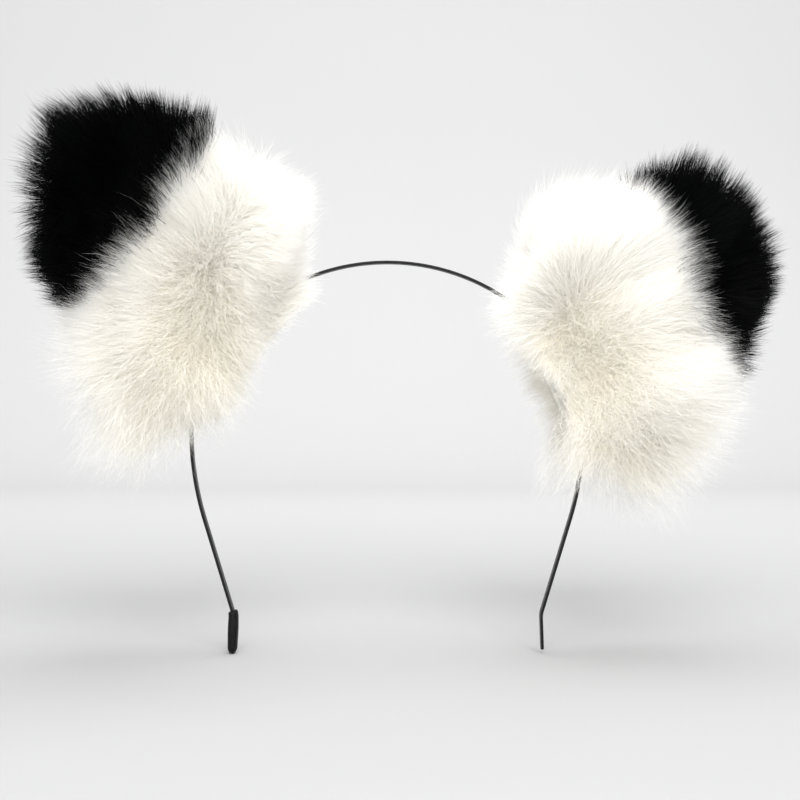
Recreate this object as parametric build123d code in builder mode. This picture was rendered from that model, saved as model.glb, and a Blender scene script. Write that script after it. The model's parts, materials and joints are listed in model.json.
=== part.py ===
"""Fur animal ears on a sprung metal headband.

A narrow spring-steel strip runs over the head. Two plush ears stand on it, each on a wire frame whose
eyes turn on a felt sleeve round the strip, so that each ear can be tilted forwards and backwards.

Frame: +X to the wearer's left as seen from the front, +Y to the back, +Z up. The origin is on the
underside of the strip at the crown, where it rests on the head. Lengths are in millimetres.
"""

import os
from math import atan2, cos, hypot, radians, sin, tan

from build123d import *

os.makedirs("parts", exist_ok=True)

# Steel strip
STRIP_WIDTH = 5.0
STRIP_THICKNESS = 1.0
STRIP_EDGE_RADIUS = 0.35
STRIP_END_RADIUS = 1.6
CROWN_RADIUS = 80.0
CROWN_HALF_ANGLE = 50.0
TEMPLE_RADIUS = 54.0
ARM_RADIUS = 115.0
ARM_INWARD_ANGLE = 17.0
ARM_STRAIGHT = 36.0
KINK_RADIUS = 8.0
KINK_OUTWARD_ANGLE = 2.0
END_STRAIGHT = 12.0
FLEX_ANGLE = 10.0
KNUCKLE_CLEARANCE = 0.05

# Moulded end tip, on the strip's left end
TIP_THICKNESS = 3.9
TIP_WIDTH = 6.8
TIP_COVER = 14.5
TIP_OVERRUN = 1.6
TIP_SIDE_RADIUS = 1.87
TIP_END_RADIUS = 1.44
TIP_MOUTH_RADIUS = 1.17

# Felt sleeve round the strip and its thread bindings
FELT_THICKNESS = 1.2
SLEEVE_CLEARANCE = 0.05
SLEEVE_OVERHANG = 9.0
SLEEVE_EDGE_RADIUS = 1.4
BINDING_THICKNESS = 0.5
BINDING_WIDTH = 1.8
BINDING_INSET = 1.0

# Ear wire frame
WIRE_DIAMETER = 1.6
WIRE_CLEARANCE = 0.1
EYE_SPREAD = 22.0
EYE_CLEARANCE = 0.4
FRAME_SIDE_INSET = 6.0
FRAME_TOP_INSET = 10.0
FRAME_CORNER = 11.0
# Shares of the frame's height or width: the widest place, and the shoulder below the top
FRAME_WAIST_HEIGHT = 0.42
FRAME_SHOULDER_HEIGHT = 0.87
FRAME_SHOULDER_WIDTH = 0.36

# Ear body: the sewn core, and the outer face of the pile round it
CORE_WIDTH = 70.0
CORE_HEIGHT = 73.0
CORE_DEPTH = 22.0
SIDE_PILE = 18.0
TOP_PILE = 22.0
FRONT_PILE = 19.0
BACK_PILE = 15.0
BASE_DROP = 3.0
SKIRT_DROP = 9.0
SKIRT_GAP = 33.0
SKIRT_NARROWING = 0.12
SKIRT_THINNING = 0.25
# Shares of the height, or of the drop where negative, at which the ear form has a section
FORM_LEVELS = (-1.0, -0.5, 0.0, 0.3, 0.55, 0.75, 0.88, 0.96, 0.995)
FORM_DEPTH_POWER = 2.4
STIFFENER_THICKNESS = 1.2
STIFFENER_BORDER = 2.5
STIFFENER_LIFT = 1.0
TUNNEL_CLEARANCE = 1.0
BLACK_HEIGHT = 56.0

SLEEVE_HALF_LENGTH = EYE_SPREAD + SLEEVE_OVERHANG
SLEEVE_DEPTH = STRIP_WIDTH + 2 * (FELT_THICKNESS + SLEEVE_CLEARANCE)
SLEEVE_HEIGHT = STRIP_THICKNESS + 2 * (FELT_THICKNESS + SLEEVE_CLEARANCE)
FRAME_WIDTH = CORE_WIDTH - 2 * FRAME_SIDE_INSET
FRAME_HEIGHT = CORE_HEIGHT - FRAME_TOP_INSET

# Where each ear stands: distance along the strip from the crown, lean towards the crown, tilt forwards
EARS = {
    "left": {"along": -67.5, "lean": 13.0, "tilt": 23.0},
    "right": {"along": 84.0, "lean": 13.0, "tilt": -3.0},
}

CROWN_LENGTH = CROWN_RADIUS * radians(CROWN_HALF_ANGLE)
FLEX_LENGTH = CROWN_RADIUS * radians(FLEX_ANGLE)
STRIP_RUNS = [
    # length, radius: positive turns down and inwards, negative turns outwards, none is straight
    (CROWN_LENGTH, CROWN_RADIUS),
    (TEMPLE_RADIUS * radians(90 - CROWN_HALF_ANGLE), TEMPLE_RADIUS),
    (ARM_RADIUS * radians(ARM_INWARD_ANGLE), ARM_RADIUS),
    (ARM_STRAIGHT, None),
    (KINK_RADIUS * radians(ARM_INWARD_ANGLE + KINK_OUTWARD_ANGLE), -KINK_RADIUS),
    (END_STRAIGHT, None),
]
STRIP_HALF_LENGTH = sum(length for length, _ in STRIP_RUNS)


def strip_state(along):
    """Centre x and z of the strip, and its angle below the horizontal, at a distance from the crown.

    The strip's last run carries on straight past its end.
    """
    side = -1 if along < 0 else 1
    left = abs(along)
    x, z, heading = 0.0, STRIP_THICKNESS / 2, 0.0
    for number, (length, radius) in enumerate(STRIP_RUNS):
        last = number == len(STRIP_RUNS) - 1
        step = left if last else min(left, length)
        if radius is None:
            x += step * cos(heading)
            z -= step * sin(heading)
        else:
            turned = heading + step / radius
            x += radius * (sin(turned) - sin(heading))
            z -= radius * (cos(heading) - cos(turned))
            heading = turned
        left -= step
        if left <= 0:
            break
    return side * x, z, side * heading


def strip_rail(start, end):
    """The strip's centre line between two distances from the crown, as lines and arcs."""
    side = -1 if start + end < 0 else 1
    near, far = sorted((start, end), key=abs) if start * end >= 0 else (start, end)
    ends = [0.0]
    for length, _ in STRIP_RUNS:
        ends.append(ends[-1] + length)
    if start * end >= 0:
        stops = [side * stop for stop in ends if abs(near) < stop < min(abs(far), ends[-1])]
    else:
        stops = [stop for e in ends[1:] for stop in (-e, e) if near < stop < far]
        stops.sort()
    stops = [near, *stops, far]
    with BuildLine() as rail:
        for a, b in zip(stops, stops[1:]):
            (xa, za, ha), (xm, zm, _), (xb, zb, hb) = (strip_state(s) for s in (a, (a + b) / 2, b))
            if abs(ha - hb) < 1e-9:
                Line((xa, 0, za), (xb, 0, zb))
            else:
                ThreePointArc((xa, 0, za), (xm, 0, zm), (xb, 0, zb))
    return rail.line


def section_plane(rail):
    """The plane across a rail's start, with its x along the strip's width."""
    return Plane(origin=rail @ 0, x_dir=(0, 1, 0), z_dir=rail % 0)


def strip_part(start, end, width, thickness, radius):
    """A length of rounded bar that follows the strip, as a builder."""
    rail = strip_rail(start, end)
    with BuildPart() as bar:
        with BuildSketch(section_plane(rail)):
            RectangleRounded(width, thickness, radius)
        sweep(path=rail)
    return bar


def knuckle(along, radius):
    """A round bar across the strip, as wide as it is, where it flexes."""
    x, z, _ = strip_state(along)
    with BuildPart() as bar:
        with BuildSketch(Plane(origin=(x, 0, z), x_dir=(1, 0, 0), z_dir=(0, 1, 0))):
            Circle(radius)
        extrude(amount=STRIP_WIDTH / 2, both=True)
    return bar.part


def end_corners(side):
    """The two corners to take off one end of the strip so that the end is round in plan."""
    x, z, heading = strip_state(side * STRIP_HALF_LENGTH)
    normal = (sin(heading), 0, cos(heading))
    with BuildPart() as corners:
        with BuildSketch(Plane(origin=(x, 0, z), x_dir=(0, 1, 0), z_dir=normal)):
            Rectangle(2 * STRIP_WIDTH, 2 * STRIP_END_RADIUS)
            with Locations((0, -side * 2 * STRIP_END_RADIUS), (0, side * 2 * STRIP_END_RADIUS)):
                RectangleRounded(STRIP_WIDTH, 4 * STRIP_END_RADIUS, STRIP_END_RADIUS, mode=Mode.SUBTRACT)
        extrude(amount=STRIP_THICKNESS, both=True)
    return corners.part


def save(part, name):
    """Labels a finished piece and writes it under its name."""
    part.label = name
    export_step(part, f"parts/{name}.step")


def make_strip():
    """The strip in three lengths, joined by round knuckles where it flexes. Returns the left arm."""
    running_radius = STRIP_THICKNESS / 2 + KNUCKLE_CLEARANCE
    crown = strip_part(-FLEX_LENGTH, FLEX_LENGTH, STRIP_WIDTH, STRIP_THICKNESS, STRIP_EDGE_RADIUS)
    with crown:
        for along in (-FLEX_LENGTH, FLEX_LENGTH):
            add(knuckle(along, running_radius), mode=Mode.SUBTRACT)
    save(crown.part, "band_crown")
    arms = {}
    for name, side in (("left", -1), ("right", 1)):
        arm = strip_part(
            side * FLEX_LENGTH, side * STRIP_HALF_LENGTH, STRIP_WIDTH, STRIP_THICKNESS, STRIP_EDGE_RADIUS
        )
        with arm:
            add(end_corners(side), mode=Mode.SUBTRACT)
            add(knuckle(side * FLEX_LENGTH, STRIP_THICKNESS / 2))
        save(arm.part, f"band_{name}_arm")
        arms[name] = arm.part
    return arms


def make_end_tip(arm):
    """The moulded tip pushed on the left end, with a slot that the strip fills."""
    start = -(STRIP_HALF_LENGTH - TIP_COVER)
    tip = strip_part(start, -STRIP_HALF_LENGTH - TIP_OVERRUN, TIP_WIDTH, TIP_THICKNESS, TIP_SIDE_RADIUS)
    with tip:
        fillet(tip.faces().filter_by(GeomType.PLANE).sort_by(Axis.Z)[0].edges(), TIP_END_RADIUS)
        fillet(tip.faces().filter_by(GeomType.PLANE).sort_by(Axis.Z)[-1].edges(), TIP_MOUTH_RADIUS)
        add(arm, mode=Mode.SUBTRACT)
    save(tip.part, "left_end_tip")


def chord_frame(along):
    """The line through the two wire eyes: its middle, its direction and the strip's distances there."""
    xa, za, _ = strip_state(along - EYE_SPREAD)
    xb, zb, _ = strip_state(along + EYE_SPREAD)
    length = hypot(xb - xa, zb - za)
    return Vector((xa + xb) / 2, 0, (za + zb) / 2), Vector((xb - xa) / length, 0, (zb - za) / length), length / 2


def from_chord(along, point_along):
    """How far the strip's centre stands outwards from an ear's hinge line at a distance from the crown."""
    middle, direction, _ = chord_frame(along)
    x, z, _ = strip_state(point_along)
    return (Vector(x, 0, z) - middle).dot(Vector(-direction.Z, 0, direction.X))


def section_reach(along, point_along, extra=0.0):
    """How far the sleeve's corners reach from an ear's hinge line, with extra round the sleeve."""
    offset = abs(from_chord(along, point_along))
    return hypot(SLEEVE_DEPTH / 2 + extra, offset + SLEEVE_HEIGHT / 2 + extra)


def eye_radius(along):
    """Inner radius of the wire eyes, clear of the sleeve that slopes through them."""
    _, direction, _ = chord_frame(along)
    slope = abs(strip_state(along + EYE_SPREAD)[2] - atan2(-direction.Z, direction.X))
    height = SLEEVE_HEIGHT / 2 / cos(slope) + WIRE_DIAMETER / 2 * tan(slope)
    return hypot(SLEEVE_DEPTH / 2, height) + EYE_CLEARANCE


def tunnel_radius(along):
    """Inner radius of the tunnel that the ear's base leaves round the sleeve and the wire eyes."""
    reach = [
        section_reach(along, along + place, BINDING_THICKNESS)
        for place in (-SLEEVE_HALF_LENGTH, 0, SLEEVE_HALF_LENGTH)
    ]
    return max(*reach, eye_radius(along) + WIRE_DIAMETER) + TUNNEL_CLEARANCE


class Ear:
    """One ear: its planes, and a function for each piece."""

    def __init__(self, name, along, lean, tilt):
        self.name = name
        self.along = along
        self.lean = tan(radians(lean)) * (1 if along < 0 else -1)
        self.middle, direction, self.eye_place = chord_frame(along)
        # +Z of the ear's base plane points outwards, then tips forwards by the tilt
        outwards = Vector(-direction.Z, 0, direction.X)
        back = Vector(0, 1, 0)
        up = outwards * cos(radians(tilt)) - back * sin(radians(tilt))
        self.base = Plane(origin=self.middle, x_dir=direction, z_dir=up)
        self.across = Plane(origin=self.middle, x_dir=up, z_dir=direction)
        self.face = Plane(origin=self.middle, x_dir=direction, z_dir=-self.base.y_dir)
        self.tunnel = tunnel_radius(along)

    def place(self, x, y, z):
        """A point of the ear's own frame in the row's frame."""
        return self.base.from_local_coords(Vector(x, y, z))

    def form(self, side, top, front, back, drop):
        """A rounded ear form, grown past the core by these distances and reaching down to the drop.

        Sections are ellipses: half an ellipse in outline above the hinge line, drawn in a little below.
        """
        height = CORE_HEIGHT + top
        depth = (CORE_DEPTH + front + back) / 2
        shift = (back - front) / 2
        with BuildPart() as form:
            for share in FORM_LEVELS:
                if share < 0:
                    z = share * drop
                    width = (CORE_WIDTH / 2 + side) * (1 - SKIRT_NARROWING * share**2)
                    thick = depth * (1 - SKIRT_THINNING * share**2)
                else:
                    z = share * height
                    width = (CORE_WIDTH / 2 + side) * (1 - share**2) ** 0.5
                    thick = depth * (1 - share**FORM_DEPTH_POWER) ** 0.5
                with BuildSketch(self.base.offset(z)):
                    with Locations((self.lean * z, shift)):
                        Ellipse(width, thick)
            loft()
        return form.part

    def tunnel_bar(self, radius):
        """A long round bar on the hinge line."""
        reach = CORE_WIDTH + 2 * SIDE_PILE
        with BuildPart() as bar:
            with BuildSketch(self.across):
                Circle(radius)
            extrude(amount=reach, both=True)
        return bar.part

    def block_beyond(self, z, depth):
        """A large block above a height in the ear, or below it when the depth is negative."""
        block = 3 * (CORE_WIDTH + CORE_HEIGHT)
        with BuildPart() as cut:
            with BuildSketch(self.base.offset(z)):
                Rectangle(block, block)
            extrude(amount=depth)
        return cut.part

    def skirt_gap(self):
        """The gap between the front and the back skirt, where the strip passes."""
        with BuildPart() as gap:
            with BuildSketch(self.base.offset(-BASE_DROP)):
                Rectangle(3 * (CORE_WIDTH + CORE_HEIGHT), SKIRT_GAP)
            extrude(amount=-2 * SKIRT_DROP)
        return gap.part

    def half_space(self, backwards):
        """A large block in front of or behind the ear's middle."""
        block = 3 * (CORE_WIDTH + CORE_HEIGHT)
        with BuildPart() as half:
            with BuildSketch(self.face):
                Rectangle(block, block)
            extrude(amount=-block if backwards else block)
        return half.part

    def frame_outline(self, width, height, foot, foot_height):
        """Corners of the wire's outline in the ear's face plane, leaning with the ear."""
        corners = [
            (-foot, foot_height),
            (-width / 2, FRAME_WAIST_HEIGHT * height),
            (-width * FRAME_SHOULDER_WIDTH, FRAME_SHOULDER_HEIGHT * height),
            (0, height),
            (width * FRAME_SHOULDER_WIDTH, FRAME_SHOULDER_HEIGHT * height),
            (width / 2, FRAME_WAIST_HEIGHT * height),
            (foot, foot_height),
        ]
        return [(x + self.lean * z, z) for x, z in corners]

    def frame_wire(self, diameter):
        """The wire frame: two eyes on the hinge line and one wire from eye to eye."""
        eye_middle = eye_radius(self.along) + WIRE_DIAMETER / 2
        foot = self.eye_place
        points = self.frame_outline(FRAME_WIDTH, FRAME_HEIGHT, foot, eye_middle)
        points[0], points[-1] = (-foot, eye_middle), (foot, eye_middle)
        with BuildPart() as wire:
            with BuildLine() as rail:
                FilletPolyline([self.face.from_local_coords(Vector(x, z, 0)) for x, z in points],
                               radius=FRAME_CORNER)
            with BuildSketch(Plane(origin=rail.line @ 0, z_dir=rail.line % 0)):
                Circle(diameter / 2)
            sweep(path=rail.line)
            for place in (-foot, foot):
                ring = Plane(origin=self.place(place, 0, 0), x_dir=self.base.z_dir, z_dir=self.base.x_dir)
                with BuildLine(ring) as turn:
                    CenterArc((0, 0), eye_middle, 0, 360)
                with BuildSketch(Plane(origin=turn.line @ 0, z_dir=turn.line % 0)):
                    Circle(diameter / 2)
                sweep(path=turn.line)
        return wire.part

    def make_sleeve(self):
        """The felt sleeve round the strip."""
        start, end = self.along - SLEEVE_HALF_LENGTH, self.along + SLEEVE_HALF_LENGTH
        sleeve = strip_part(start, end, SLEEVE_DEPTH, SLEEVE_HEIGHT, SLEEVE_EDGE_RADIUS)
        slot = strip_part(
            start,
            end,
            STRIP_WIDTH + 2 * SLEEVE_CLEARANCE,
            STRIP_THICKNESS + 2 * SLEEVE_CLEARANCE,
            STRIP_EDGE_RADIUS + SLEEVE_CLEARANCE,
        )
        with sleeve:
            add(slot.part, mode=Mode.SUBTRACT)
        save(sleeve.part, f"{self.name}_sleeve")

    def make_bindings(self):
        """Thread windings near both ends of the sleeve, which keep the wire eyes in place."""
        both = []
        for side in (-1, 1):
            outer_end = self.along + side * (SLEEVE_HALF_LENGTH - BINDING_INSET)
            inner_end = outer_end - side * BINDING_WIDTH
            binding = strip_part(
                inner_end,
                outer_end,
                SLEEVE_DEPTH + 2 * BINDING_THICKNESS,
                SLEEVE_HEIGHT + 2 * BINDING_THICKNESS,
                SLEEVE_EDGE_RADIUS + BINDING_THICKNESS,
            )
            core = strip_part(inner_end, outer_end, SLEEVE_DEPTH, SLEEVE_HEIGHT, SLEEVE_EDGE_RADIUS)
            with binding:
                add(core.part, mode=Mode.SUBTRACT)
            both.append(binding.part)
        with BuildPart() as bindings:
            add(both)
        save(bindings.part, f"{self.name}_sleeve_bindings")

    def make_ear(self):
        """The wire frame, stiffener, felt base, stuffing and the three sewn fur panels."""
        frame = self.frame_wire(WIRE_DIAMETER)
        save(frame, f"{self.name}_ear_wire_frame")
        frame_room = self.frame_wire(WIRE_DIAMETER + 2 * WIRE_CLEARANCE)

        core = self.form(0, 0, 0, 0, BASE_DROP)
        tunnel = self.tunnel_bar(self.tunnel)
        lining = self.tunnel_bar(self.tunnel + FELT_THICKNESS)

        with BuildPart() as base_felt:
            with BuildSketch(self.base.offset(-BASE_DROP)):
                Rectangle(2 * CORE_WIDTH, 2 * CORE_WIDTH)
            extrude(amount=FELT_THICKNESS)
            add(lining)
            add(core, mode=Mode.INTERSECT)
            add(tunnel, mode=Mode.SUBTRACT)
        with BuildPart() as base_room:
            add(base_felt.part)
        with base_felt:
            add(frame_room, mode=Mode.SUBTRACT)
        save(base_felt.part, f"{self.name}_ear_base_felt")

        border = WIRE_DIAMETER / 2 + STIFFENER_BORDER
        foot = self.tunnel + FELT_THICKNESS + STIFFENER_LIFT
        outline = self.frame_outline(FRAME_WIDTH + border, FRAME_HEIGHT + border, self.eye_place, foot)
        with BuildPart() as stiffener:
            with BuildSketch(self.face.offset(-WIRE_DIAMETER / 2 - 2 * WIRE_CLEARANCE)):
                with BuildLine():
                    FilletPolyline(outline, radius=FRAME_CORNER)
                    Line(outline[-1], outline[0])
                make_face()
            extrude(amount=-STIFFENER_THICKNESS)
            add(core, mode=Mode.INTERSECT)
        save(stiffener.part, f"{self.name}_ear_stiffener")

        with BuildPart() as stuffing:
            add(core)
            add(tunnel, mode=Mode.SUBTRACT)
            add(base_room.part, mode=Mode.SUBTRACT)
            add(frame_room, mode=Mode.SUBTRACT)
            add(stiffener.part, mode=Mode.SUBTRACT)
        save(stuffing.part, f"{self.name}_ear_stuffing")

        with BuildPart() as fur:
            add(self.form(SIDE_PILE, TOP_PILE, FRONT_PILE, BACK_PILE, SKIRT_DROP))
            add(core, mode=Mode.SUBTRACT)
            add(tunnel, mode=Mode.SUBTRACT)
            add(self.skirt_gap(), mode=Mode.SUBTRACT)
        with BuildPart() as tip_fur:
            add(fur.part)
            add(self.block_beyond(BLACK_HEIGHT, 2 * CORE_HEIGHT), mode=Mode.INTERSECT)
        save(tip_fur.part, f"{self.name}_ear_tip_fur")
        for face, backwards in (("front", False), ("back", True)):
            with BuildPart() as panel:
                add(fur.part)
                add(self.block_beyond(BLACK_HEIGHT, -2 * CORE_HEIGHT), mode=Mode.INTERSECT)
                add(self.half_space(backwards), mode=Mode.INTERSECT)
            save(panel.part, f"{self.name}_ear_{face}_fur")


arms = make_strip()
make_end_tip(arms["left"])
for ear_name, seat in EARS.items():
    ear = Ear(ear_name, **seat)
    ear.make_sleeve()
    ear.make_bindings()
    ear.make_ear()
    print(
        ear_name,
        "hinge at", [round(value / 1000, 6) for value in tuple(ear.middle)],
        "axis", [round(value, 6) for value in tuple(ear.base.x_dir)],
        "tunnel", round(ear.tunnel, 2),
        "eye", round(eye_radius(ear.along), 2),
    )
for side in (-1, 1):
    x, z, _ = strip_state(side * FLEX_LENGTH)
    print("flex at", round(x / 1000, 6), round(z / 1000, 6))
print("strip length", round(2 * STRIP_HALF_LENGTH, 1), "end at", strip_state(STRIP_HALF_LENGTH))
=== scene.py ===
"""Animal ears headband: the looks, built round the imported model.

A sprung steel strip goes over the head. Two plush ears stand on it, and each tilts about a felt sleeve.
Lengths are in metres in the model's own frame: +X to the right seen from the front, +Y back, +Z up.
"""

import json
import logging
import math
from dataclasses import dataclass, field, replace
from enum import Enum
from typing import Any, Callable, Iterable, Mapping, Optional, Sequence, Union

import bmesh
import bpy
import numpy as np
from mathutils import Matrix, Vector


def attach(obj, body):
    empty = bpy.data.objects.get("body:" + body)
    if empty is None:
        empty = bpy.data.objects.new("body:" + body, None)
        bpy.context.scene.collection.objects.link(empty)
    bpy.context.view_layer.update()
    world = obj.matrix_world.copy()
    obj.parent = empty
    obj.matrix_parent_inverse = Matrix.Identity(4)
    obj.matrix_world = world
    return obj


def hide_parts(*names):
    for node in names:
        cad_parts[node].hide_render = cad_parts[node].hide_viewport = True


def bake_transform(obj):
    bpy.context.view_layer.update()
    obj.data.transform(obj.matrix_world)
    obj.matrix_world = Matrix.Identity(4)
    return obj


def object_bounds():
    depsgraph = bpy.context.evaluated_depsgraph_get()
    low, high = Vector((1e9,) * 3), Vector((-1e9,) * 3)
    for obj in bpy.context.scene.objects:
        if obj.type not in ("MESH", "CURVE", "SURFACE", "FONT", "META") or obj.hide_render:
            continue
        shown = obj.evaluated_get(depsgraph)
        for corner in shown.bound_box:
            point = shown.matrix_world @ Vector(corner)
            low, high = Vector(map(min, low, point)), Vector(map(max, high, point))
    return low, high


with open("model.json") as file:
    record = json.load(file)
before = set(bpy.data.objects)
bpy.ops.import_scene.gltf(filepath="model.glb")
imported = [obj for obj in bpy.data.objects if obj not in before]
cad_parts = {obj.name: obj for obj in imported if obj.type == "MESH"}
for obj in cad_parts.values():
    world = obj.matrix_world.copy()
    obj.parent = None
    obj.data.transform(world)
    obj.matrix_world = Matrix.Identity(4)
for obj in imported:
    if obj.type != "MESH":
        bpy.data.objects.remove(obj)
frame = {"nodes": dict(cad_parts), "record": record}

CAD_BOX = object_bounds()
LOG = logging.getLogger("headband")
MM = 0.001
PILE_ROOM = np.array([14.5, 9.5, 13.5]) * MM
Array = np.ndarray
Object = bpy.types.Object
Material = bpy.types.Material
Colour = tuple[float, float, float, float]
Span = tuple[float, float]
Number = Union[float, "Term"]


def grey(value: float) -> Colour:
    """A neutral colour of one linear value."""
    return (value, value, value, 1.0)


# Shader maths -----------------------------------------------------------------------------------------


def arithmetic(operation: str, reflected: bool = False) -> Callable[["Term", Number], "Term"]:
    """A method that puts this value and another through one Math node, the other first if reflected."""

    def through(self: "Term", other: Number) -> "Term":
        """The operation on both values."""
        return self.graph.math(operation, *((other, self) if reflected else (self, other)))

    return through


class Term:
    """A shader value that takes part in Python arithmetic, each operation adding one Math node."""

    __add__, __radd__ = arithmetic("ADD"), arithmetic("ADD", reflected=True)
    __sub__, __rsub__ = arithmetic("SUBTRACT"), arithmetic("SUBTRACT", reflected=True)
    __mul__, __rmul__ = arithmetic("MULTIPLY"), arithmetic("MULTIPLY", reflected=True)

    def __init__(self, graph: "Graph", socket: bpy.types.NodeSocket) -> None:
        """Keeps the graph that the value lives in and the socket that gives it."""
        self.graph = graph
        self.socket = socket


class Graph:
    """The node graph of one material."""

    def __init__(self, name: str) -> None:
        """Makes an empty material of this name."""
        self.material = bpy.data.materials.new(name)
        self.material.use_nodes = True
        self.tree = self.material.node_tree
        self.tree.nodes.clear()

    def node(
        self,
        kind: str,
        settings: Optional[Mapping[str, Any]] = None,
        sockets: Optional[Mapping[Union[str, int], Any]] = None,
    ) -> bpy.types.Node:
        """Adds one node.

        Args:
            kind: the node's type name.
            settings: its properties, and under "stops" a ramp's (position, colour) pairs.
            sockets: values, terms or sockets for its inputs, by name or number.

        Returns:
            The new node.
        """
        made = self.tree.nodes.new(kind)
        for key, value in (settings or {}).items():
            if key == "stops":
                ramp = made.color_ramp
                while len(ramp.elements) < len(value):
                    ramp.elements.new(0.5)
                for element, (place, colour) in zip(ramp.elements, value):
                    element.position = place
                    element.color = colour
            else:
                setattr(made, key, value)
        for key, value in (sockets or {}).items():
            socket = made.inputs[key]
            if isinstance(value, Term):
                self.tree.links.new(value.socket, socket)
            elif isinstance(value, bpy.types.NodeSocket):
                self.tree.links.new(value, socket)
            else:
                socket.default_value = value
        return made

    def math(self, operation: str, *values: Number) -> Term:
        """One Math node on one to three values."""
        made = self.node("ShaderNodeMath", {"operation": operation}, dict(enumerate(values)))
        return Term(self, made.outputs[0])

    def place(self, scale: Sequence[float] = (1.0, 1.0, 1.0)) -> Term:
        """The point on the object, stretched by a scale along each axis."""
        where = self.node("ShaderNodeTexCoord").outputs["Object"]
        mapped = self.node("ShaderNodeMapping", {}, {"Vector": where, "Scale": tuple(scale)})
        return Term(self, mapped.outputs["Vector"])

    def noise(self, where: Term, scale: float, detail: float = 3.0, rough: float = 0.55) -> Term:
        """Soft noise from 0 to 1 at a point."""
        sockets = {"Vector": where, "Scale": scale, "Detail": detail, "Roughness": rough}
        return Term(self, self.node("ShaderNodeTexNoise", {}, sockets).outputs[0])

    def blend(self, share: Number, first: Any, second: Any) -> Term:
        """A colour between two colours."""
        made = self.node("ShaderNodeMix", {"data_type": "RGBA"}, {"Factor": share, 6: first, 7: second})
        return Term(self, made.outputs[2])

    def ramp(self, value: Number, stops: Sequence[tuple[float, Colour]]) -> Term:
        """A colour read off a ramp."""
        made = self.node("ShaderNodeValToRGB", {"stops": stops}, {"Fac": value})
        return Term(self, made.outputs["Color"])

    def bump(self, height: Term, depth: float) -> Term:
        """A surface normal for a height that is at most this deep, in metres."""
        made = self.node("ShaderNodeBump", {}, {"Height": height, "Distance": depth})
        return Term(self, made.outputs["Normal"])

    def surface(self, sockets: Mapping[str, Any]) -> bpy.types.Node:
        """A Principled surface with these inputs."""
        return self.node("ShaderNodeBsdfPrincipled", {}, sockets)

    def close(self, shader: bpy.types.Node) -> Material:
        """Makes a shader the material's surface and gives the material."""
        self.node("ShaderNodeOutputMaterial", {}, {"Surface": shader.outputs[0]})
        return self.material


# Finishes ---------------------------------------------------------------------------------------------


@dataclass(frozen=True)
class FurFinish:
    """Pile whose colour changes along each strand, with painted shade and a painted sheen in it.

    The roots are darker and creamier than the tips, partly the pile's own tone and partly painted shade
    deep in the pile; the black pile's lighter tips are a painted sheen. Strands are blended towards a
    cream colour, partly a random tint per strand and partly painted shade where the pile is mussed.
    The map's v runs from root to tip, and its u is the strand's share of that cream tint and painted shade.
    """

    name: str
    root: Colour
    middle: Colour
    tip: Colour
    cream_tint_and_shade: Colour
    tint_and_shade_share: float
    through: float
    through_colour: Colour
    roughness: float
    specular: float

    def material(self) -> Material:
        """The strands' material."""
        graph = Graph(self.name)
        strand_map = graph.node("ShaderNodeUVMap", {"uv_map": PILE_MAP})
        parts = graph.node("ShaderNodeSeparateXYZ", {}, {0: strand_map.outputs[0]})
        strand, along = Term(graph, parts.outputs[0]), Term(graph, parts.outputs[1])
        # Painted shade: roots darker and creamier than tips, and the cream blend strongest at the roots;
        # partly the pile's own tone.
        colour = graph.ramp(along, [(0.0, self.root), (0.45, self.middle), (0.95, self.tip)])
        tinted_and_shaded = graph.blend(strand * (1.15 - along) * self.tint_and_shade_share, colour, self.cream_tint_and_shade)
        skin = graph.surface(
            {
                "Base Color": tinted_and_shaded,
                "Roughness": self.roughness + 0.2 * strand,
                "Specular IOR Level": self.specular,
            }
        )
        glow = graph.node("ShaderNodeBsdfTranslucent", {}, {"Color": self.through_colour})
        shaders = {0: self.through, 1: skin.outputs[0], 2: glow.outputs[0]}
        return graph.close(graph.node("ShaderNodeMixShader", {}, shaders))


@dataclass(frozen=True)
class Finish:
    """A Principled surface in two colours. Each kind says what feeds its inputs."""

    name: str
    colour: Colour
    second: Colour

    def inputs(self, graph: Graph) -> dict[str, Any]:
        """What feeds the surface's inputs, by their names."""
        raise NotImplementedError

    def material(self) -> Material:
        """The finish as a material."""
        graph = Graph(self.name)
        return graph.close(graph.surface(self.inputs(graph)))


class BackingFinish(Finish):
    """The knitted backing that the pile stands in, seen only where the pile parts."""

    def inputs(self, graph: Graph) -> dict[str, Any]:
        """Knit rows crossed with loose fluff, with painted shade in the second colour where they are low.
        """
        where = graph.place()
        knit = {"Vector": where, "Scale": 260.0, "Distortion": 2.5}
        rows = graph.node("ShaderNodeTexWave", {"bands_direction": "Z"}, knit)
        height = Term(graph, rows.outputs["Fac"]) * 0.5 + graph.noise(where, 900.0) * 0.5
        return {
            # Painted shade: the low parts between the knit rows take the darker second colour.
            "Base Color": graph.blend(height, self.second, self.colour),
            "Roughness": 0.9,
            "Normal": graph.bump(height, 0.4 * MM),
        }


class FeltFinish(Finish):
    """Pressed felt: short matted fibres with flecks of the second colour."""

    def inputs(self, graph: Graph) -> dict[str, Any]:
        """Matted fibres over slow drift."""
        fibres = graph.noise(graph.place((1.0, 2.2, 1.0)), 1500.0, 4.0, 0.7)
        drift = graph.noise(graph.place(), 120.0)
        return {
            "Base Color": graph.blend(fibres * 0.6 + drift * 0.3, self.colour, self.second),
            "Roughness": 0.85 + 0.1 * drift,
            "Sheen Weight": 0.4,
            "Normal": graph.bump(fibres, 0.25 * MM),
        }


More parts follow.
